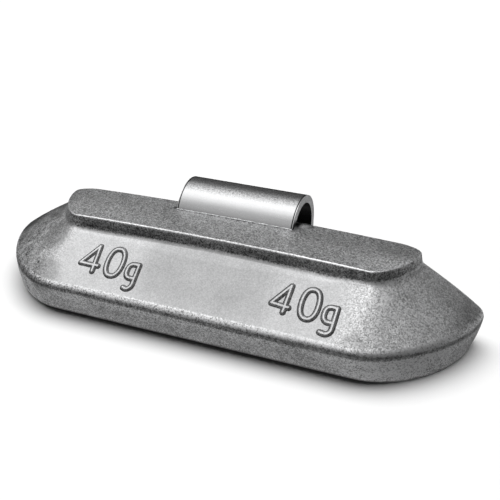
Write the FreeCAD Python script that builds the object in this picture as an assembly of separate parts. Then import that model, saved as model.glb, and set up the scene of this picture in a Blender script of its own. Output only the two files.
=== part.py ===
import FreeCAD, Part
import math
import os
from FreeCAD import Vector

os.makedirs("parts", exist_ok=True)

# Clip-on wheel balance weight, in millimetres. X runs along the weight, Y from its outer
# side to the flat back that lies against the rim, Z up from its flat base. It is built from
# the front edge of the base and moved at the end, so that the origin is the base's centre.

# Base outline, on the ground
base_length = 56.55
base_corner_x = 10.27
base_fullness = 0.62
depth = 13.1

# Crease, the widest outline, where the two halves of the mould part
crease_length = 58.5
crease_overhang = 1.35
crease_height = 3.98
crease_sag = 0.12
crease_corner_x = 11.25
crease_fullness = 0.445
crease_setback = 0.60
side_bulge = 0.28
end_crown = 0.55

# Rounded corners between the ends and the flat back
back_corner_x = 2.5
back_corner_y = 1.77
round_fullness = 0.7071

# Ledge that stands on the slope and holds the clip
ledge_length = 43.5
ledge_front = 5.48
ledge_draft = 0.27
ledge_foot_height = 8.45
ledge_foot_rise = 0.48
ledge_top_height = 10.15
ledge_top_arch = 0.44
ledge_corner_x = 4.1
ledge_back_corner_x = 2.85
ledge_back_corner_y = 1.43
ledge_fullness = 0.40
ledge_foot_setback = 0.40
ledge_edge_round = 0.20

# Spring clip, one bent strip of steel
clip_width = 14.5
clip_thickness = 0.90
clip_top_height = 12.56
arch_outer_radius = 4.08
leg_front = 10.49
leg_foot_height = 2.4
free_leg_lean = 5.5
free_leg_length = 3.6
grip_bend_radius = 1.2
lip_angle = 24.0
lip_length = 1.2
strip_corner = 1.2

# Holes in the buried leg that the zinc runs through, and the gap left round the steel
key_hole_diameter = 3.0
key_hole_spacing = 7.4
key_hole_height = 5.2
cast_clearance = 0.02


def mirrored(span):
    return [(-x, y, z, w) for x, y, z, w in reversed(span)]


# An outline runs from its right back corner round the front to its left back corner, in
# five spans of poles (x, y, z, weight). The corners are conics, the front line a low bow.
def outline(length, front, corner_x, back_x, back_y, height, rise, fullness):
    end = length / 2
    start = end - corner_x
    widest = depth - back_y
    back_corner = [
        (end - back_x, depth, height, 1.0),
        (end, depth, height, round_fullness),
        (end, widest, height, 1.0),
    ]
    front_corner = [
        (end, widest, height, 1.0),
        (end, front, height, fullness),
        (start, front, height, 1.0),
    ]
    front_line = [
        (start, front, height, 1.0),
        (start / 2, front, height, 1.0),
        (0.0, front, height + rise * 8 / 3, 1.0),
        (-start / 2, front, height, 1.0),
        (-start, front, height, 1.0),
    ]
    return [back_corner, front_corner, front_line, mirrored(front_corner), mirrored(back_corner)]


# The outline that lies a share of the way from one outline to another
def between(start, end, share):
    row = []
    for start_span, end_span in zip(start, end):
        span = []
        for a, b in zip(start_span, end_span):
            near = a[3] * (1 - share)
            far = b[3] * share
            point = [(a[i] * near + b[i] * far) / (near + far) for i in range(3)]
            span.append((point[0], point[1], point[2], near + far))
        row.append(span)
    return row


# The outline at a set distance from one outline towards another, measured at the front
def offset_towards(start, end, distance):
    return between(start, end, distance / math.dist(start[2][0][:3], end[2][0][:3]))


# The same outline with both of its ends pushed outwards and its front line kept
def crowned(row, amount):
    def pushed(span, kept):
        return [pole if i == kept else (pole[0] + amount, *pole[1:]) for i, pole in enumerate(span)]

    back_corner = pushed(row[0], None)
    front_corner = pushed(row[1], 2)
    return [back_corner, front_corner, row[2], mirrored(front_corner), mirrored(back_corner)]


# The same outline grown outwards by a set amount, at the ends and along the front
def grown(row, amount):
    wider = crowned(row, amount)
    right, line = wider[1], wider[2]
    corner = [right[0]] + [(x, y - amount, z, w) for x, y, z, w in right[1:]]
    front_line = [(x, y - amount, z, w) for x, y, z, w in line]
    return [wider[0], corner, front_line, mirrored(corner), wider[4]]


# A band of five smooth faces through two or three outlines, the middle one not touched
def band(*rows):
    faces = []
    for spans in zip(*rows):
        columns = list(zip(*spans))
        along = len(columns)
        across = len(rows)
        surface = Part.BSplineSurface()
        surface.buildFromPolesMultsKnots(
            [[Vector(*pole[:3]) for pole in column] for column in columns],
            [along, along],
            [across, across],
            [0.0, 1.0],
            [0.0, 1.0],
            False,
            False,
            along - 1,
            across - 1,
            [[pole[3] for pole in column] for column in columns],
        )
        faces.append(surface.toShape())
    return faces


# The straight back edge of an outline
def back_line(row):
    return Part.makeLine(Vector(*row[-1][-1][:3]), Vector(*row[0][0][:3]))


# The flat face inside a loop of edges
def flat_face(edges):
    return Part.Face(Part.Wire(Part.sortEdges(edges)[0]))


# The edges of a set of faces that lie in a level or upright plane
def edges_in_plane(faces, side, place):
    found = []
    for face in faces:
        for edge in face.Edges:
            box = edge.BoundBox
            low, high = {"y": (box.YMin, box.YMax), "z": (box.ZMin, box.ZMax)}[side]
            if abs(low - place) < 1e-4 and abs(high - place) < 1e-4:
                found.append(edge)
    return found


# Cast body: outlines from the base up to a level lid that the arch then cuts off
lid_height = ledge_top_height + 1.0
wall_height = ledge_top_height - ledge_foot_height
lid_draft = ledge_draft * (lid_height - ledge_foot_height) / wall_height
foot_front = ledge_front - ledge_draft
foot_length = ledge_length + 2 * ledge_draft
base_row = outline(
    base_length,
    0.0,
    base_corner_x,
    back_corner_x,
    back_corner_y,
    0.0,
    0.0,
    base_fullness,
)
crease_row = outline(
    crease_length,
    -crease_overhang,
    crease_corner_x,
    back_corner_x,
    back_corner_y,
    crease_height,
    -crease_sag,
    crease_fullness,
)
foot_row = outline(
    foot_length,
    foot_front,
    ledge_corner_x,
    ledge_back_corner_x,
    ledge_back_corner_y,
    ledge_foot_height,
    ledge_foot_rise,
    ledge_fullness,
)
lid_row = outline(
    foot_length - 2 * lid_draft,
    foot_front + lid_draft,
    ledge_corner_x,
    ledge_back_corner_x,
    ledge_back_corner_y,
    lid_height,
    0.0,
    ledge_fullness,
)
slope_row = crowned(between(crease_row, foot_row, 0.5), end_crown)
side_row = grown(between(base_row, crease_row, 0.5), side_bulge)
under_crease = offset_towards(crease_row, side_row, crease_setback)
over_crease = offset_towards(crease_row, slope_row, crease_setback)
under_foot = offset_towards(foot_row, slope_row, ledge_foot_setback)
over_foot = offset_towards(foot_row, lid_row, ledge_foot_setback)

skin = band(base_row, side_row, under_crease)
skin += band(under_crease, crease_row, over_crease)
skin += band(over_crease, slope_row, under_foot)
skin += band(under_foot, foot_row, over_foot)
skin += band(over_foot, lid_row)
skin.append(flat_face(edges_in_plane(skin, "z", 0.0) + [back_line(base_row)]))
skin.append(flat_face(edges_in_plane(skin, "z", lid_height) + [back_line(lid_row)]))
skin.append(flat_face(edges_in_plane(skin[:25], "y", depth) + [back_line(base_row), back_line(lid_row)]))
shell = Part.makeShell(skin)
shell.sewShape()
body = Part.makeSolid(shell)

# The ledge top bows up over its length, like the rim edge that it follows.
half_ledge = ledge_length / 2
bow_radius = (half_ledge**2 + ledge_top_arch**2) / (2 * ledge_top_arch)
reach = crease_length / 2
bow_end = ledge_top_height - bow_radius + math.sqrt(bow_radius**2 - reach**2)
front = -2 * crease_overhang
corners = [
    Vector(reach, front, bow_end),
    Vector(reach, front, 2 * lid_height),
    Vector(-reach, front, 2 * lid_height),
    Vector(-reach, front, bow_end),
]
bow = Part.Arc(corners[3], Vector(0, front, ledge_top_height), corners[0]).toShape()
lines = [Part.makeLine(a, b) for a, b in zip(corners, corners[1:])]
above = Part.Face(Part.Wire([bow] + lines)).extrude(Vector(0, depth - 2 * front, 0))
body = body.cut(above)

# A small round along the top of the ledge
top_face = max(body.Faces, key=lambda face: face.CenterOfMass.z)
body = body.makeFillet(ledge_edge_round, top_face.OuterWire.Edges)


# Spring clip seen from its end: the buried leg runs up, over the arch, down the free leg,
# round the grip bend and out along the lip. The strip grows on all sides for its pocket.
def point(centre, radius, degrees):
    angle = math.radians(degrees)
    return Vector(0, centre.y + radius * math.cos(angle), centre.z + radius * math.sin(angle))


def strip(grow):
    arch = Vector(0, leg_front + arch_outer_radius, clip_top_height - arch_outer_radius)
    outer = arch_outer_radius + grow
    inner = arch_outer_radius - clip_thickness - grow
    foot = leg_foot_height - grow
    half_turn = (180 - free_leg_lean) / 2
    down = Vector(0, -math.sin(math.radians(free_leg_lean)), -math.cos(math.radians(free_leg_lean)))
    out = Vector(0, math.sin(math.radians(lip_angle)), -math.cos(math.radians(lip_angle)))
    leg = down * free_leg_length
    grip = point(arch, arch_outer_radius + grip_bend_radius, -free_leg_lean) + leg
    grip_out = grip_bend_radius - grow
    grip_in = grip_bend_radius + clip_thickness + grow
    lip = out * (lip_length + grow)
    mid_bend = 180 + (lip_angle - free_leg_lean) / 2
    bottom_out = Vector(0, arch.y - outer, foot)
    bottom_in = Vector(0, arch.y - inner, foot)
    bend_out = point(grip, grip_out, 180 + lip_angle)
    bend_in = point(grip, grip_in, 180 + lip_angle)
    edges = [
        Part.makeLine(bottom_out, point(arch, outer, 180)),
        Part.Arc(point(arch, outer, 180), point(arch, outer, 90), point(arch, outer, -free_leg_lean)),
        Part.makeLine(point(arch, outer, -free_leg_lean), point(grip, grip_out, 180 - free_leg_lean)),
        Part.Arc(point(grip, grip_out, 180 - free_leg_lean), point(grip, grip_out, mid_bend), bend_out),
        Part.makeLine(bend_out, bend_out + lip),
        Part.makeLine(bend_out + lip, bend_in + lip),
        Part.makeLine(bend_in + lip, bend_in),
        Part.Arc(bend_in, point(grip, grip_in, mid_bend), point(grip, grip_in, 180 - free_leg_lean)),
        Part.makeLine(point(grip, grip_in, 180 - free_leg_lean), point(arch, inner, -free_leg_lean)),
        Part.Arc(point(arch, inner, -free_leg_lean), point(arch, inner, 90), point(arch, inner, 180)),
        Part.makeLine(point(arch, inner, 180), bottom_in),
        Part.makeLine(bottom_in, bottom_out),
    ]
    edges = [edge.toShape() if isinstance(edge, Part.Arc) else edge for edge in edges]
    section = Part.Face(Part.Wire(edges))
    section.translate(Vector(-clip_width / 2 - grow, 0, 0))
    return section.extrude(Vector(clip_width + 2 * grow, 0, 0))


# Round bars through the buried leg, at the key holes
def key_bars(radius, start, length):
    bars = []
    for side in (-1, 1):
        place = Vector(side * key_hole_spacing / 2, start, key_hole_height)
        bars.append(Part.makeCylinder(radius, length, place, Vector(0, 1, 0)))
    return bars


clip = strip(0.0)
for bar in key_bars(key_hole_diameter / 2, leg_front - 1, clip_thickness + 2):
    clip = clip.cut(bar)
tip = min(
    (edge for edge in clip.Edges if edge.CenterOfMass.y > depth and edge.Length < clip_thickness * 1.01),
    key=lambda edge: edge.CenterOfMass.z,
)
tips = [
    edge
    for edge in clip.Edges
    if edge.Length < clip_thickness * 1.01 and abs(edge.CenterOfMass.z - tip.CenterOfMass.z) < 1e-3
]
clip = clip.makeFillet(strip_corner, tips)

# The pocket that the zinc leaves round the buried leg, up to the crown of the arch
crown_depth = leg_front + arch_outer_radius
front_half = Part.makeBox(2 * clip_width, 2 * crown_depth, 2 * clip_top_height)
front_half.translate(Vector(-clip_width, -crown_depth, -clip_top_height / 2))
body = body.cut(strip(cast_clearance).common(front_half))
for bar in key_bars(
    key_hole_diameter / 2 - cast_clearance,
    leg_front - 2 * cast_clearance,
    clip_thickness + 4 * cast_clearance,
):
    body = body.fuse(bar)

for name, solid in (("weight_body", body), ("spring_clip", clip)):
    solid.translate(Vector(0, -depth / 2, 0))
    solid.exportStep("parts/" + name + ".step")
    print(name, solid.isValid(), len(solid.Solids), round(solid.Volume, 1))
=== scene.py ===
import math

import bpy
from mathutils import Matrix, Vector


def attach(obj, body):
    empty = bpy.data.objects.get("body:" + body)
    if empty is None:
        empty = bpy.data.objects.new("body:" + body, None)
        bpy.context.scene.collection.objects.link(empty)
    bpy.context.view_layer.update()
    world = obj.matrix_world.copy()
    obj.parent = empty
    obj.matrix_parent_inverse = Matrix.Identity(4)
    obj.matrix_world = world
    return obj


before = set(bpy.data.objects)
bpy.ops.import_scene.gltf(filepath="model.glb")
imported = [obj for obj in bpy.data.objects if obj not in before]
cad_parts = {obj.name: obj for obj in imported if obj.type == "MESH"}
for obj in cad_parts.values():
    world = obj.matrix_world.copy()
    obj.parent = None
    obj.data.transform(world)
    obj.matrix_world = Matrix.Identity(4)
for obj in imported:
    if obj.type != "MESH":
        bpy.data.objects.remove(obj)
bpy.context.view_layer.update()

# Zinc body. One piece of zinc alloy, cast in a mould that parts at the crease, then
# tumbled with shot, which leaves a fine grain all over and worn edges. The edges' brightness
# is partly painted highlight, and much of the shade on the body is painted into its grey.
MM = 0.001
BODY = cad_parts["weight_body"]
BAND_TOP = 3.3
CREASE_TOP = 4.2
LEDGE_FOOT = 8.2
LEDGE_EDGE = 9.7
LEFT_CENTRE = (-20.0, 1.0)
ZINC_GREY = 0.68
ZINC_BRIGHTEST = 0.98
ZINC_ROUGHNESS = 0.48
ZINC_RELIEF = 0.030
FLANK_SHADE = 0.92
RUBBED_SMOOTH = 0.72

# Two holes, painted as dark spots of shade, and a bright knock, each by its place and
# radius, and round patches of darker or lighter tone, each also by how much it darkens the
# metal. An amount below 0 brightens it.
HOLES = [((-20.68, -5.40, 5.12), 0.24), ((-7.55, 4.62, 10.10), 0.42)]
KNOCK = ((-20.65, -6.79, 4.24), 0.26)
TONE_PATCHES = [
    ((-19.2, -6.9, 4.5), 2.8, 0.33),
    ((-19.9, -2.0, 7.2), 2.6, 0.28),
    ((-24.0, -2.4, 5.3), 3.0, -0.22),
    ((-25.6, 1.4, 5.6), 3.2, -0.12),
    ((-22.4, -0.6, 6.9), 2.0, -0.20),
    ((18.0, -7.2, 4.5), 1.7, 0.25),
    ((19.4, -5.6, 5.3), 2.6, 0.12),
    ((19.4, -1.8, 8.2), 2.0, -0.20),
    ((24.2, -3.0, 4.9), 4.0, -0.18),
]


class Signal:
    """A socket that Python's own operators can work on."""

    def __init__(self, graph, socket):
        self.graph = graph
        self.socket = socket

    def maths(self, operation, *others, clamp=False):
        settings = {"operation": operation, "use_clamp": clamp}
        return self.graph.node("ShaderNodeMath", settings, dict(enumerate((self,) + others)))

    def __add__(self, other):
        return self.maths("ADD", other)

    __radd__ = __add__

    def __mul__(self, other):
        return self.maths("MULTIPLY", other)

    __rmul__ = __mul__

    def __sub__(self, other):
        return self.maths("SUBTRACT", other)

    def __rsub__(self, other):
        return self * -1 + other

    def __pow__(self, other):
        return self.maths("POWER", other)

    def ramp(self, low, high, start=0.0, end=1.0):
        """Runs smoothly from start to end while the signal runs from low to high."""
        settings = {"interpolation_type": "SMOOTHSTEP"}
        sockets = {0: self, 1: low, 2: high, 3: start, 4: end}
        return self.graph.node("ShaderNodeMapRange", settings, sockets)

    def part(self, name):
        return self.graph.node("ShaderNodeSeparateXYZ", None, {0: self}, out=name)

    def twin(self, name):
        """Another output of the node that this one comes from."""
        return Signal(self.graph, self.socket.node.outputs[name])


class Graph:
    """A tree of shader nodes. Its node method adds any of them."""

    def __init__(self, tree):
        self.tree = tree

    def node(self, kind, settings=None, sockets=None, out=0):
        made = self.tree.nodes.new(kind)
        for name, value in (settings or {}).items():
            setattr(made, name, value)
        for name, value in (sockets or {}).items():
            self.feed(made.inputs[name], value)
        return Signal(self, made.outputs[out]) if made.outputs else made

    def feed(self, socket, value):
        if isinstance(value, Signal):
            self.tree.links.new(value.socket, socket)
        else:
            socket.default_value = value


class Finish(Graph):
    """A material whose patterns are measured in millimetres of the object."""

    def __init__(self, name):
        self.material = bpy.data.materials.new(name)
        self.material.use_nodes = True
        super().__init__(self.material.node_tree)
        self.shader = self.tree.nodes["Principled BSDF"]
        metres = self.node("ShaderNodeTexCoord", out="Object")
        sockets = {0: metres, "Scale": 1 / MM}
        self.place = self.node("ShaderNodeVectorMath", {"operation": "SCALE"}, sockets)

    def noise(self, size, detail=2.0, roughness=0.5, stretch=None):
        """Soft patches of about one size, from -0.5 to 0.5, drawn out where it is stretched."""
        place = self.place
        if stretch:
            sockets = {0: place, 1: stretch}
            place = self.node("ShaderNodeVectorMath", {"operation": "MULTIPLY"}, sockets)
        sockets = {"Vector": place, "Scale": 1.0 / size, "Detail": detail, "Roughness": roughness}
        return self.node("ShaderNodeTexNoise", {"noise_dimensions": "3D"}, sockets) - 0.5

    def sand(self, cells):
        """Flat grains from -0.5 to 0.5, so many of them to a millimetre."""
        sockets = {"Vector": self.place, "Scale": cells}
        return self.node("ShaderNodeTexVoronoi", None, sockets, out="Color").part("X") - 0.5

    def spots(self, size, radius, share):
        """Round spots of one radius, in a share of the cells of a jittered grid."""
        sockets = {"Vector": self.place, "Scale": 1.0 / size}
        settings = {"feature": "F1"}
        gap = self.node("ShaderNodeTexVoronoi", settings, sockets, out="Distance")
        lot = self.node("ShaderNodeTexVoronoi", settings, sockets, out="Color").part("X")
        return gap.ramp(radius, radius * 0.45) * lot.ramp(share + 0.02, share - 0.02)

    def near(self, centre, radius):
        """1 at a point of the object, in mm, and 0 beyond the radius."""
        sockets = {0: self.place, 1: centre}
        gap = self.node("ShaderNodeVectorMath", {"operation": "DISTANCE"}, sockets, out="Value")
        return gap.ramp(radius, radius * 0.5)

    def grey(self, level):
        """A grey that leans a little towards blue, as bare zinc and steel do."""
        sockets = {0: level, 1: level * 1.004, 2: level * 1.012}
        return self.node("ShaderNodeCombineColor", None, sockets)

    def coat(self, piece, metal, roughness, relief, strength, depth):
        """Feeds the metal's grey, its roughness and its relief, and puts it on a CAD piece."""
        self.feed(self.shader.inputs["Base Color"], self.grey(metal))
        self.shader.inputs["Metallic"].default_value = 1.0
        self.feed(self.shader.inputs["Roughness"], roughness)
        sockets = {"Height": relief, "Strength": strength, "Distance": depth * MM}
        bump = self.node("ShaderNodeBump", None, sockets)
        self.feed(self.shader.inputs["Normal"], bump)
        piece.material_slots[0].material = self.material


zinc = Finish("cast_zinc_finish")
along = zinc.place.part("X")
depth = zinc.place.part("Y")
height = zinc.place.part("Z")
facing = zinc.node("ShaderNodeNewGeometry", out="Normal")
upward = facing.part("Z")
rearward = facing.part("Y")
front = rearward.ramp(0.85, 0.55)

# The line under the ledge sags in the middle and lies higher on the right, and the crease
# runs a little lower from the left to past the middle.
sag = along.ramp(-8.0, -5.0, 0.0, 0.06) * along.ramp(7.0, 3.0)
under_ledge = height + sag - along.ramp(13.0, 17.0, 0.0, 0.4)
seam = height + along.ramp(-18.0, -8.0, 0.0, 0.12) + along.ramp(-5.0, 3.0, 0.0, 0.10)

# Zones, each 1 inside and 0 outside. First the slope, the strip of it along the ledge's foot,
# and the part of it that is rubbed smooth.
slope = upward.ramp(0.56, 0.68) * upward.ramp(0.95, 0.88)
foot = slope * under_ledge.ramp(LEDGE_FOOT - 0.25, LEDGE_FOOT)
rub = slope * along.ramp(-20.5, -16.5) * along.ramp(18.5, 14.0)
rough = 1 - rub * RUBBED_SMOOTH

# The ledge: its top and the top's rear edge, its front rim, painted bright as worn edge and
# highlight, its wall, the gutter where the wall meets the slope, painted dark as shade, and
# the rounding below it. The rim and the gutter fade round the ledge's left end.
top = upward.ramp(0.955, 0.985) * height.ramp(LEDGE_EDGE - 0.3, LEDGE_EDGE - 0.1)
back_edge = rearward.ramp(0.2, 0.5) * height.ramp(LEDGE_EDGE - 0.3, LEDGE_EDGE)
off_end = 1 - along.ramp(-16.6, -17.8) * 0.8
rim = upward.ramp(0.15, 0.45) * upward.ramp(0.995, 0.97) * off_end
rim = rim * height.ramp(LEDGE_EDGE - 0.02, LEDGE_EDGE + 0.08)
wall = front * upward.ramp(0.72, 0.42) * height.ramp(LEDGE_EDGE + 0.16, LEDGE_EDGE)
wall = wall * under_ledge.ramp(LEDGE_FOOT, LEDGE_FOOT + 0.3)
gutter = front * upward.ramp(0.80, 0.66) * height.ramp(9.2, 8.95) * off_end
gutter = gutter * under_ledge.ramp(LEDGE_FOOT, LEDGE_FOOT + 0.2)
fillet = rearward.ramp(-0.35, -0.55) * upward.ramp(0.25, 0.45) * upward.ramp(0.78, 0.66)
fillet = fillet * height.ramp(LEDGE_FOOT - 0.2, LEDGE_FOOT)

# The side band and its upper lip, the parting line above it, painted dark as shade, the
# crease, worn and painted bright as highlight, and the two rounded ends, without the flat back.
band = front * height.ramp(BAND_TOP + 0.2, BAND_TOP)
lip = band * seam.ramp(BAND_TOP + 0.06, BAND_TOP - 0.04) * height.ramp(1.9, 2.8)
parting = front * upward.ramp(0.30, 0.10) * seam.ramp(BAND_TOP + 0.04, BAND_TOP + 0.24)
parting = parting * height.ramp(CREASE_TOP + 0.1, CREASE_TOP - 0.1)
crease_edge = upward.ramp(0.20, 0.40) * height.ramp(3.6, 3.75)
crease_edge = crease_edge * height.ramp(CREASE_TOP + 0.22, CREASE_TOP)
left_end = front * along.ramp(-18.5, -24.0)
right_end = front * along.ramp(15.0, 19.0)

# Patterns: clouds of tarnish, mottles, the grain of the shot, pits and specks, lines drawn
# along the wall, and streaks that fan out round the left end.
cloud = zinc.noise(3.4, 3.0, 0.55)
mottle = zinc.noise(0.9, 3.0, 0.6)
grain = zinc.noise(0.24, 2.0, 0.6)
sand = zinc.sand(8.5)
pits = zinc.spots(0.50, 0.24, 0.30)
specks = zinc.spots(0.42, 0.22, 0.16)
drawn = zinc.noise(0.32, 3.0, 0.6, (0.22, 1.0, 1.0))
beyond = along - LEFT_CENTRE[0]
behind = depth - LEFT_CENTRE[1]
bearing = behind.maths("ARCTAN2", beyond)
far = (behind ** 2 + beyond ** 2).maths("SQRT")
spoke = zinc.node("ShaderNodeCombineXYZ", None, {0: bearing * 7.0, 1: height * 0.22, 2: 3.0})
sockets = {"Vector": spoke, "Scale": 1.0, "Detail": 3.0}
streak = zinc.node("ShaderNodeTexNoise", None, sockets) - 0.5
flank = zinc.node("ShaderNodeAttribute", {"attribute_name": "flank"}, out="Fac")
hole = sum(zinc.near(centre, radius) for centre, radius in HOLES)
tone_patch = sum(zinc.near(centre, radius) * amount for centre, radius, amount in TONE_PATCHES)

# What brightens and darkens the metal by patches, strongest where it isn't rubbed smooth.
# The left end is also a little darker all over.
patches = rough * (sand * 0.9 + grain * 0.45 + mottle * 0.4 - pits * 0.2 + specks * 0.3)
patches = patches + cloud * 0.30 + (top + wall * 2.0) * sand * 0.28 + wall * drawn * 1.4
patches = patches + left_end * (streak * 1.1 + mottle * 1.1 - 0.22) + zinc.near(*KNOCK) * 0.5
patches = patches + band * (
    cloud * 0.55 + mottle * 0.3 + grain * 0.3 - pits * 0.3 + sand * 0.05
)

# Worn edges and painted highlights, which brighten the edges. The crease's is broken on the
# left and even on the right. The rim's right part is painted brighter still, the strip along
# the ledge's foot and the rounding below the ledge's right part get painted highlight, and the
# side band gets painted light toward both ends and painted shade in its middle.
broken = (grain * 3.2 + sand * 1.1) * along.ramp(4.0, 12.0, 1.0, 0.35)
rim_highlight = along.ramp(8.5, 10.5, 0.0, 0.35) * along.ramp(17.0, 15.0)
wear_and_highlight = rim * (0.10 + grain * 2.0 + rim_highlight) + crease_edge * (0.55 + broken) + lip * 0.16
wear_and_highlight = wear_and_highlight + foot * along.ramp(10.5, 13.5, 0.10, 0.24)
wear_and_highlight = wear_and_highlight + fillet * along.ramp(14.0, 17.0, 0.0, 0.5)
band_ends = along.ramp(-19.0, -22.5, 0.0, 0.64) + along.ramp(13.0, 21.0, 0.0, 0.40)
band_ends = band_ends - right_end * rearward.ramp(-0.75, -0.1, 0.0, 0.30)
wear_and_highlight = wear_and_highlight + band * (band_ends - 0.10)

# Painted shade, which darkens the ledge's top, its rear edge and its wall, the rubbed slope's
# middle, the parting line, the holes, the gutter, the rear of both ends and the right end's tip;
# and the tone patches, which darken or brighten round spots.
top_shade = 0.30 - depth.ramp(4.5, 0.5, 0.0, 0.12) - along.ramp(-4.0, -12.0, 0.0, 0.08)
top_shade = top_shade * (1 - right_end * depth.ramp(4.2, 2.2, 0.0, 1.5))
top_shade = top * (top_shade + along.ramp(-8.0, -5.0, 0.0, 0.07) * along.ramp(8.0, 5.0))
shaded = wall * off_end * height.ramp(9.75, 8.9, 0.36, 0.62)
shaded = shaded * (1 - along.ramp(-9.0, -13.0, 0.0, 0.30) - along.ramp(8.0, 11.0, 0.0, 0.42))
rub_shade = along.ramp(-9.0, -6.0) - along.ramp(6.0, 9.5, 0.0, 0.75)
rub_shade = rub * (0.10 + rub_shade * height.ramp(4.2, 5.6, 0.10, 0.21))
parting_shade = (grain * 0.9 + sand * 0.25) * along.ramp(4.0, 12.0, 1.0, 0.3)
parting_shade = parting * (1 - left_end * 0.6) * (0.48 - parting_shade)
rear = depth.ramp(0.3, 2.6, 0.0, 0.40) + far.ramp(6.2, 7.0, 0.0, 0.32) * (1 - crease_edge * 0.8)
shade_and_tone = 1 - (top_shade + shaded + rub_shade + parting_shade)
shade_and_tone = shade_and_tone * (1 - hole * 0.75) * (1 - tone_patch) * (1 - back_edge * 0.35)
shade_and_tone = shade_and_tone * (1 - gutter * along.ramp(8.5, 11.0, 0.30, 0.08)) * (1 - left_end * rear)
shade_and_tone = shade_and_tone * (1 - right_end * depth.ramp(1.4, 2.4, 0.0, 0.20))
shade_and_tone = shade_and_tone * (1 - front * along.ramp(25.5, 28.2, 0.0, 0.30))
# Painted contact shade, darker toward the floor over the lowest 0.42 mm, and the painted shade and
# highlight that the ribs and the mound carry in their attribute.
shade_and_tone = shade_and_tone * height.ramp(0.0, 0.42, 0.28, 1.0) * (1 - flank * FLANK_SHADE)

zinc.coat(
    BODY,
    metal=(ZINC_GREY * (1 + patches) * (1 + wear_and_highlight) * shade_and_tone).maths("MINIMUM", ZINC_BRIGHTEST),
    roughness=ZINC_ROUGHNESS + rough * (mottle * 0.15 + grain * 0.2) - rim * 0.12,
    relief=rough * (grain + mottle * 0.6 - pits * 0.25 + specks * 0.2),
    strength=1.0,
    depth=ZINC_RELIEF,
)

# Raised marks. The weight's own figure and unit, cut into the mould, so that they stand up
# from the slope as flat-topped ribs, one group to the left and one to the right.
SLOPE_START = Vector((0.0, -7.90, 3.86))
SLOPE_RISE = 5.07
SLOPE_RUN = 6.56
SLOPE_ANGLE = math.atan2(SLOPE_RISE, SLOPE_RUN)
SLOPE_OUT = Vector((0.0, -math.sin(SLOPE_ANGLE), math.cos(SLOPE_ANGLE)))
MARKS = {"left": (-13.42, 1.02, 0.0), "right": (10.02, 0.98, -0.02)}
RIB_SIZES = {
    "Half width": 0.315, "Crest": 0.07, "Height": 0.19, "Skirt": 0.13, "Step": 0.036, "Root": 0.45,
}
RIB_EDGE = 0.008
SKIRT_DROP = 0.06
SHEET_LIFT = 1.5
FALL = 5.0


class Maker(Graph):
    """A tree of geometry nodes with named inputs, run on one mesh and then done with."""

    def __init__(self, name, inputs):
        super().__init__(bpy.data.node_groups.new(name, "GeometryNodeTree"))
        face = self.tree.interface
        face.new_socket("Path", in_out="INPUT", socket_type="NodeSocketGeometry")
        for label, kind in inputs.items():
            face.new_socket(label, in_out="INPUT", socket_type="NodeSocket" + kind)
        face.new_socket("Shape", in_out="OUTPUT", socket_type="NodeSocketGeometry")
        self.given = self.tree.nodes.new("NodeGroupInput")

    def size(self, label):
        return Signal(self, self.given.outputs[label])

    def scaled(self, vector, amount):
        sockets = {0: vector, "Scale": amount}
        return self.node("ShaderNodeVectorMath", {"operation": "SCALE"}, sockets)

    def add(self, one, other):
        return self.node("ShaderNodeVectorMath", {"operation": "ADD"}, {0: one, 1: other})

    def close(self, shape):
        """Ends the tree with a smooth, real mesh in the finish that it is given."""
        shape = self.node("GeometryNodeSetShadeSmooth", None, {"Geometry": shape})
        shape = self.node("GeometryNodeRealizeInstances", None, {"Geometry": shape})
        sockets = {"Geometry": shape, "Material": self.size("Finish")}
        shape = self.node("GeometryNodeSetMaterial", None, sockets)
        self.node("NodeGroupOutput", None, {"Shape": shape})

    def run(self, name, points, edges, values):
        """Runs the tree on a path of points, in mm, and keeps the result as a plain mesh."""
        path = bpy.data.meshes.new(name + "_path")
        path.from_pydata([Vector(p) * MM for p in points], edges, [])
        carrier = bpy.data.objects.new(name + "_path", path)
        bpy.context.scene.collection.objects.link(carrier)
        modifier = carrier.modifiers.new("shape", "NODES")
        modifier.node_group = self.tree
        for item in self.tree.interface.items_tree:
            if item.in_out == "INPUT" and item.name in values:
                modifier[item.identifier] = values[item.name]
        seen = bpy.context.evaluated_depsgraph_get()
        mesh = bpy.data.meshes.new_from_object(carrier.evaluated_get(seen))
        carrier.modifiers.remove(modifier)
        bpy.data.objects.remove(carrier)
        piece = bpy.data.objects.new(name, mesh)
        bpy.context.scene.collection.objects.link(piece)
        return piece


ribs = Maker("raised_rib", {
    "Ground": "Object", "Half width": "Float", "Crest": "Float", "Height": "Float",
    "Skirt": "Float", "Step": "Float", "Root": "Float", "Finish": "Material",
})
half = ribs.size("Half width")
crest = ribs.size("Crest")
skirt = ribs.size("Skirt")
root = ribs.size("Root")
strokes = ribs.size("Path")
low = ribs.node("GeometryNodeBoundBox", None, {"Geometry": strokes}, out="Min")
high = low.twin("Max")
reach = (half + skirt + ribs.size("Step")) * 2
wide = high.part("X") - low.part("X") + reach
tall = high.part("Y") - low.part("Y") + reach
sheet = ribs.node("GeometryNodeMeshGrid", None, {
    "Size X": wide, "Size Y": tall,
    "Vertices X": wide.maths("DIVIDE", ribs.size("Step")),
    "Vertices Y": tall.maths("DIVIDE", ribs.size("Step")),
})
middle = ribs.scaled(ribs.add(low, high), 0.5)
sheet = ribs.node("GeometryNodeSetPosition", None, {"Geometry": sheet, "Offset": middle})
gap = ribs.node(
    "GeometryNodeProximity", {"target_element": "EDGES"}, {"Geometry": strokes}, out="Distance",
)
sheet = ribs.node(
    "GeometryNodeStoreNamedAttribute", {"domain": "POINT", "data_type": "FLOAT"},
    {"Geometry": sheet, "Name": "gap", "Value": gap},
)
gap = ribs.node("GeometryNodeInputNamedAttribute", {"data_type": "FLOAT"}, {"Name": "gap"})
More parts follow.
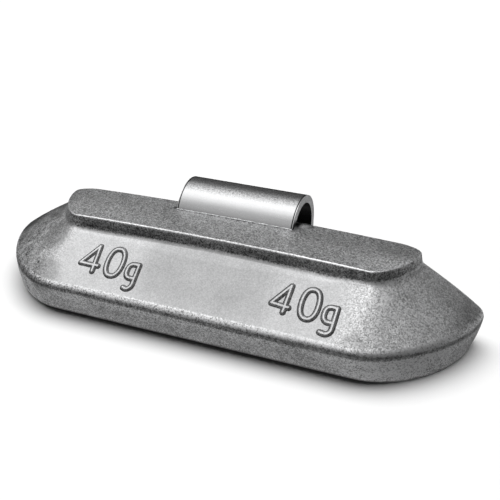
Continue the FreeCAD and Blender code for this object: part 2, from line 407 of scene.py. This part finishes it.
sheet = ribs.node(
    "GeometryNodeDeleteGeometry", {"domain": "FACE"},
    {"Geometry": sheet, "Selection": gap.maths("GREATER_THAN", half + skirt)},
)

# Painted shade and highlight on each point of a rib: its sides a little dark, the line round
# its foot the darkest, and its crest lighter than the slope.
dark = gap.ramp(crest * 1.1, crest * 1.8, 0.0, 0.17)
dark = dark + gap.ramp(half * 0.78, half * 0.90, 0.0, 0.83)
dark = dark * gap.ramp(half + skirt * 0.55, half + skirt * 0.15)
dark = dark - gap.ramp(crest * 1.4, crest * 0.6, 0.0, 0.14)
sheet = ribs.node(
    "GeometryNodeStoreNamedAttribute", {"domain": "POINT", "data_type": "FLOAT"},
    {"Geometry": sheet, "Name": "flank", "Value": dark},
)
sheet = ribs.node("GeometryNodeTransform", None, {
    "Geometry": sheet, "Rotation": (SLOPE_ANGLE, 0.0, 0.0),
    "Translation": (SLOPE_START + SLOPE_OUT * SHEET_LIFT) * MM,
})

# The flat sheet lands on the casting, is raised along the strokes, and gets a root that
# stands in the zinc.
ground = ribs.node("GeometryNodeObjectInfo", None, {"Object": ribs.size("Ground")}, out="Geometry")
landed = ribs.node("GeometryNodeRaycast", None, {
    "Target Geometry": ground, "Ray Direction": -SLOPE_OUT, "Ray Length": FALL * MM,
}, out="Hit Position")
rise = ribs.size("Height") * gap.ramp(half, crest)
rise = rise + gap.ramp(half, half + skirt * 0.5, RIB_EDGE * MM, 0.0)
rise = rise - gap.ramp(half + skirt * 0.5, half + skirt) * SKIRT_DROP * MM
out = ribs.node("ShaderNodeCombineXYZ", None, dict(enumerate(SLOPE_OUT)))
sunk = ribs.add(landed, ribs.scaled(out, rise - root))
under = ribs.node("GeometryNodeSetPosition", None, {"Geometry": sheet, "Position": sunk})
raised = ribs.node("GeometryNodeExtrudeMesh", None, {
    "Mesh": under, "Offset": out, "Offset Scale": root, "Individual": False,
})
turned_under = ribs.node("GeometryNodeFlipFaces", None, {"Mesh": under})
whole = ribs.node("GeometryNodeJoinGeometry")
for shape in (raised, turned_under):
    ribs.tree.links.new(shape.socket, whole.socket.node.inputs[0])
sockets = {"Geometry": whole, "Distance": 0.001 * MM}
ribs.close(ribs.node("GeometryNodeMergeByDistance", None, sockets))


def arc(x, y, across, up, start, end, power=2.0, steps=24):
    """Points on an arc round x, y. A power above 2 squares it, as the nought is."""
    points = []
    for i in range(steps + 1):
        angle = math.radians(start + (end - start) * i / steps)
        c = math.cos(angle)
        s = math.sin(angle)
        points.append((
            x + across * math.copysign(abs(c) ** (2 / power), c),
            y + up * math.copysign(abs(s) ** (2 / power), s),
        ))
    return points


FIGURES = {
    "four": {
        "left": [[(0.64, 3.58), (-1.58, 3.60), (0.02, 6.02), (0.22, 2.80)]],
        "right": [[(0.34, 3.50), (-1.64, 3.62), (0.02, 5.98), (-0.10, 2.88)]],
    },
    "nought": {
        "left": [arc(2.54, 4.44, 0.95, 1.70, 0, 360, 2.35, 48)],
        "right": [arc(2.52, 4.44, 0.95, 1.70, 0, 360, 2.35, 48)],
    },
    "gram": {
        "left": [
            arc(5.07, 3.80, 0.74, 0.86, 70, 290, 2.6, 24) + [(5.53, 2.95)],
            [(5.15, 4.66), (5.53, 4.66)]
            + arc(4.88, 2.36, 0.65, 0.73, 0, -90, 2.2, 12) + [(4.62, 1.72)],
        ],
        "right": [
            arc(5.07, 3.80, 0.76, 0.86, 70, 290, 2.6, 24) + [(5.53, 2.95)],
            [(5.15, 4.66), (5.55, 4.66)]
            + arc(4.84, 2.36, 0.70, 0.73, 0, -90, 2.2, 12) + [(4.38, 1.72)],
        ],
    },
}
rib_values = {label: size * MM for label, size in RIB_SIZES.items()}
rib_values.update({"Ground": BODY, "Finish": zinc.material})
for side, (start, stretch, tilt) in MARKS.items():
    for figure, lines in FIGURES.items():
        points, edges = [], []
        for line in lines[side]:
            first = len(points)
            points += [(start + x * stretch, y + x * tilt, 0.0) for x, y in line]
            edges += [(i, i + 1) for i in range(first, len(points) - 1)]
        mark = ribs.run("mark_" + figure + "_" + side, points, edges, rib_values)
        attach(mark, "root")

# Spring clip. A strip of spring steel, plated and smooth, bent over the rim edge; its
# front leg is set in the mould before the zinc is poured round it.
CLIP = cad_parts["spring_clip"]
ARCH_CENTRE = (0.0, 8.02, 8.48)
CLIP_HALF = 7.25
STEEL_GREY = 0.56
STEEL_ROUGHNESS = 0.27
STEEL_RELIEF = 0.01

steel = Finish("spring_steel_finish")
scratch = steel.noise(0.25, 2.0, 0.5, (0.12, 1.0, 1.0))
soft = steel.noise(1.6, 2.0)
sandy = steel.sand(8.0)
steel_facing = steel.node("ShaderNodeNewGeometry", out="Normal")
sideways = steel_facing.part("X")
across = steel.place.part("X")
inset = across.maths("ABSOLUTE")

# Zones: the strip's cut ends, its hollow side, painted near black as shade, the sandy crown of
# its arch, painted darker as shade, a dark line of painted shade along each end's burr, and the
# end of the buried leg under the flash, painted dark as shadow.
ends = sideways.maths("ABSOLUTE").ramp(0.7, 0.9)
arm = steel.node(
    "ShaderNodeVectorMath", {"operation": "SUBTRACT"}, {0: steel.place, 1: ARCH_CENTRE},
)
outer = steel.node(
    "ShaderNodeVectorMath", {"operation": "DOT_PRODUCT"}, {0: arm, 1: steel_facing}, out="Value",
)
outer = outer - across * sideways
inside = outer.ramp(-0.4, -1.2) * (1 - ends)
crown = steel_facing.part("Z").ramp(0.84, 0.98)
burr = inset.ramp(CLIP_HALF - 0.24, CLIP_HALF - 0.19)
burr = outer.ramp(0.4, 1.2) * burr * inset.ramp(CLIP_HALF - 0.06, CLIP_HALF - 0.10)
buried = ends * steel.place.part("Z").ramp(10.9, 10.45) * steel.place.part("Y").ramp(6.0, 5.6)

metal = 1 + scratch * 0.12 + soft * 0.06 + sandy * (0.04 + crown * 0.75)
metal = STEEL_GREY * (metal + ends * (sandy * 0.5 - 0.06))
# Painted shade: the hollow near black, the burr lines and the buried leg's end dark.
metal = metal * (1 - inside * 0.97) * (1 - burr * 0.95) * (1 - buried * 0.8)
steel.coat(
    CLIP,
    metal=metal * (1 - crown * 0.24),
    roughness=STEEL_ROUGHNESS + soft * 0.02 + scratch * 0.02 + ends * 0.25,
    relief=scratch * 0.3 + sandy * crown * 0.6,
    strength=0.2,
    depth=STEEL_RELIEF,
)

# Flash. Zinc that crept out of the mould where it closes on the strip: a thin bead along the
# front of the clip, and a low mound under the right end of its arch.
BEAD_ENDS = [(-7.2, 4.0, 12.0), (7.2, 4.0, 12.0)]
BEAD_SIZES = {"Radius": 0.115 * MM, "Unevenness": 2.4, "Grain": 2200.0, "Points": 180}
BEAD_START = (0.0, -1.0 * MM, 0.02 * MM)
MOUND_MID = (8.10, 5.88, 10.02)
MOUND_REACH = (1.25, 0.66, 0.32)
MOUND_RINGS = 10
MOUND_TURNS = 36
MOUND_DOME = 0.8
MOUND_ROOT = -0.9
MOUND_WAVE = 0.06
MOUND_DARK = 0.80

# A straight thread falls onto the ledge, runs back from there to the face of the strip, and
# is swept with a ring whose radius varies from point to point.
beads = Maker("creeping_bead", {
    "Ground": "Object", "Strip": "Object", "Radius": "Float", "Unevenness": "Float",
    "Grain": "Float", "Points": "Int", "Finish": "Material",
})
thread = beads.node("GeometryNodeMeshToCurve", None, {"Mesh": beads.size("Path")})
thread = beads.node(
    "GeometryNodeResampleCurve", {"mode": "COUNT"},
    {"Curve": thread, "Count": beads.size("Points")},
)
sockets = {"Object": beads.size("Ground")}
ground = beads.node("GeometryNodeObjectInfo", None, sockets, out="Geometry")
landed = beads.node("GeometryNodeRaycast", None, {
    "Target Geometry": ground, "Ray Direction": (0.0, 0.0, -1.0), "Ray Length": FALL * MM,
}, out="Hit Position")
thread = beads.node("GeometryNodeSetPosition", None, {"Geometry": thread, "Position": landed})
strip = beads.node("GeometryNodeObjectInfo", None, {"Object": beads.size("Strip")}, out="Geometry")
start = beads.add(beads.node("GeometryNodeInputPosition"), BEAD_START)
touched = beads.node("GeometryNodeRaycast", None, {
    "Target Geometry": strip, "Source Position": start,
    "Ray Direction": (0.0, 1.0, 0.0), "Ray Length": FALL * MM,
}, out="Hit Position")
thread = beads.node("GeometryNodeSetPosition", None, {"Geometry": thread, "Position": touched})
sockets = {"Scale": beads.size("Grain"), "Detail": 2.0}
uneven = beads.node("ShaderNodeTexNoise", None, sockets) - 0.5
thread = beads.node("GeometryNodeSetCurveRadius", None, {
    "Curve": thread, "Radius": 1 + uneven * beads.size("Unevenness"),
})
sockets = {"Resolution": 8, "Radius": beads.size("Radius")}
ring = beads.node("GeometryNodeCurvePrimitiveCircle", None, sockets)
tube = beads.node("GeometryNodeCurveToMesh", None, {
    "Curve": thread, "Profile Curve": ring,
    "Scale": beads.node("GeometryNodeInputRadius"), "Fill Caps": True,
})
beads.close(tube)
bead_values = {**BEAD_SIZES, "Ground": BODY, "Strip": CLIP, "Finish": zinc.material}
bead = beads.run("flash_bead", BEAD_ENDS, [(0, 1)], bead_values)
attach(bead, "root")

# The mound is a dome of rings round its top, and its last ring stands in the zinc.
places, faces = [(MOUND_MID[0], MOUND_MID[1], MOUND_MID[2] + MOUND_REACH[2])], []
for ring_index in range(1, MOUND_RINGS + 2):
    share = min(ring_index / MOUND_RINGS, 1.0)
    lift = math.cos(share * math.pi / 2) ** MOUND_DOME if share < 1 else 0.0
    if ring_index > MOUND_RINGS:
        lift = MOUND_ROOT
    for turn_index in range(MOUND_TURNS):
        angle = 2 * math.pi * turn_index / MOUND_TURNS
        wave = 1 + MOUND_WAVE * math.sin(3 * angle + 0.7)
        places.append((
            MOUND_MID[0] + MOUND_REACH[0] * share * wave * math.cos(angle),
            MOUND_MID[1] + MOUND_REACH[1] * share * wave * math.sin(angle),
            MOUND_MID[2] + MOUND_REACH[2] * lift,
        ))
for turn_index in range(MOUND_TURNS):
    after = (turn_index + 1) % MOUND_TURNS
    faces.append((0, 1 + turn_index, 1 + after))
    for ring_index in range(MOUND_RINGS):
        row = 1 + ring_index * MOUND_TURNS
        below = row + MOUND_TURNS
        faces.append((row + turn_index, below + turn_index, below + after, row + after))
faces.append(tuple(1 + MOUND_RINGS * MOUND_TURNS + i for i in reversed(range(MOUND_TURNS))))
mound_mesh = bpy.data.meshes.new("flash_mound")
mound_mesh.from_pydata([Vector(p) * MM for p in places], [], faces)
mound_mesh.polygons.foreach_set("use_smooth", [True] * len(faces))
mound_mesh.materials.append(zinc.material)
# The mound is painted dark as the shade under the clip's arch, through the same attribute as the
# ribs.
mound_shade = mound_mesh.attributes.new("flank", "FLOAT", "POINT")
mound_shade.data.foreach_set("value", [MOUND_DARK] * len(places))
mound = bpy.data.objects.new("flash_mound", mound_mesh)
bpy.context.scene.collection.objects.link(mound)
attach(mound, "root")

# Camera. It stands where the photograph was taken from, in front of the weight and to its
# right, and looks down on it.
CAMERA_PLACE = Vector((35.660, -76.472, 53.034))
SENSOR = 36.0
LENS = 61.2
TURN = math.radians(22.554)
TILT = math.radians(28.0)
right = Vector((math.cos(TURN), math.sin(TURN), 0))
ahead = Vector((-math.sin(TURN), math.cos(TURN), 0))
look = ahead * math.cos(TILT) - Vector((0, 0, math.sin(TILT)))
camera_data = bpy.data.cameras.new("camera")
camera_data.sensor_width = SENSOR
camera_data.lens = LENS
camera_data.clip_start = 0.002
camera_data.clip_end = 10.0
camera = bpy.data.objects.new("camera", camera_data)
bpy.context.scene.collection.objects.link(camera)
axes = Matrix((right, right.cross(look), -look)).transposed().to_4x4()
camera.matrix_world = Matrix.Translation(CAMERA_PLACE * MM) @ axes
bpy.context.scene.camera = camera

# Floor and light. A white sheet under the weight, lit by a broad lamp overhead. The metal
# mirrors a studio of dim walls with three round soft boxes: a large one above its left end,
# one low on the left in front, and a weak one behind.
FLOOR_HALF = 0.8
PAPER = (0.9, 0.9, 0.9, 1)
LAMP_SIZE = (5.0, 3.0)
LAMP_FAR = 3.0
LAMP_POWER = 154
LAMP_WAY = Vector((-0.14, 0.22, 1.0)).normalized()
SOFT_BOXES = [(-95, 70, 28.2, 28.2, 1.94), (-158, 30, 10, 15, 0.71), (20, 40, 22, 15, 0.25)]
WALLS = (0.117, 0.124)
SECOND_HAND = 0.25

floor_mesh = bpy.data.meshes.new("floor")
corners = [(-1, -1, 0), (1, -1, 0), (1, 1, 0), (-1, 1, 0)]
floor_mesh.from_pydata([Vector(c) * FLOOR_HALF for c in corners], [], [(0, 1, 2, 3)])
floor = bpy.data.objects.new("floor", floor_mesh)
bpy.context.scene.collection.objects.link(floor)
paper = Finish("floor_paper")
paper.shader.inputs["Base Color"].default_value = PAPER
paper.shader.inputs["Roughness"].default_value = 1.0
paper.shader.inputs["Specular IOR Level"].default_value = 0.0
floor_mesh.materials.append(paper.material)
floor.visible_glossy = False

lamp_data = bpy.data.lights.new("lamp", "AREA")
lamp_data.shape = "ELLIPSE"
lamp_data.size, lamp_data.size_y = LAMP_SIZE
lamp_data.energy = LAMP_POWER
lamp = bpy.data.objects.new("lamp", lamp_data)
bpy.context.scene.collection.objects.link(lamp)
lamp_side = Vector((0.0, 1.0, 0.0)).cross(LAMP_WAY).normalized()
lamp_axes = Matrix((lamp_side, LAMP_WAY.cross(lamp_side), LAMP_WAY)).transposed().to_4x4()
lamp.matrix_world = Matrix.Translation(LAMP_WAY * LAMP_FAR) @ lamp_axes
lamp.visible_glossy = False
lamp.visible_camera = False

world = bpy.data.worlds.new("studio")
bpy.context.scene.world = world
world.use_nodes = True
world.node_tree.nodes.clear()
world.cycles_visibility.diffuse = False
studio = Graph(world.node_tree)
way = studio.node("ShaderNodeTexCoord", out="Generated")
rightward = way.part("X")
backward = way.part("Y")
rise = way.part("Z")


def soft_box(turn, lift, radius, edge, strength):
    """Light from a round patch of the studio, by its bearing from the back and its height."""
    turn, lift = math.radians(turn), math.radians(lift)
    centre = (math.sin(turn) * math.cos(lift), math.cos(turn) * math.cos(lift), math.sin(lift))
    settings = {"operation": "DOT_PRODUCT"}
    near = studio.node("ShaderNodeVectorMath", settings, {0: way, 1: centre}, out="Value")
    edges = math.radians(radius - edge), math.radians(radius + edge)
    return near.maths("ARCCOSINE").ramp(*edges, strength, 0.0)


# Above the horizon the walls and the boxes, below it a dim glow and the bright strips that
# the side band and the parting line mirror. The studio doesn't light the floor itself, and
# only a share of it gets there by way of the metal.
above = rise.ramp(0.1, 0.8, *WALLS) + sum(soft_box(*box) for box in SOFT_BOXES)
glow = rise.ramp(-0.1, -0.6) * (0.30 - rightward * 0.16)
aside = rightward * math.cos(TURN) + backward * math.sin(TURN)
strips = backward.ramp(0.1, 0.5) * rise.ramp(-0.64, -0.46) * rise.ramp(0.22, 0.02)
strips = strips * (aside.ramp(0.15, 0.4, 0.0, 0.52) + aside.ramp(-0.15, -0.5, 0.0, 0.16))
light = above * rise.ramp(-0.02, 0.02) + glow * (1 - strips) + strips
seen = studio.node("ShaderNodeLightPath", out="Is Camera Ray")
light = light * (1 - seen.twin("Diffuse Depth").maths("MINIMUM", 1.0) * (1 - SECOND_HAND))
room = studio.node("ShaderNodeBackground", None, {"Color": (1, 1, 1, 1), "Strength": light})
white = studio.node("ShaderNodeBackground", None, {"Color": (1, 1, 1, 1), "Strength": 1.0})
both = studio.node("ShaderNodeMixShader", None, {0: seen, 1: room, 2: white})
studio.node("ShaderNodeOutputWorld", None, {0: both})
bpy.context.scene.view_settings.view_transform = "Standard"
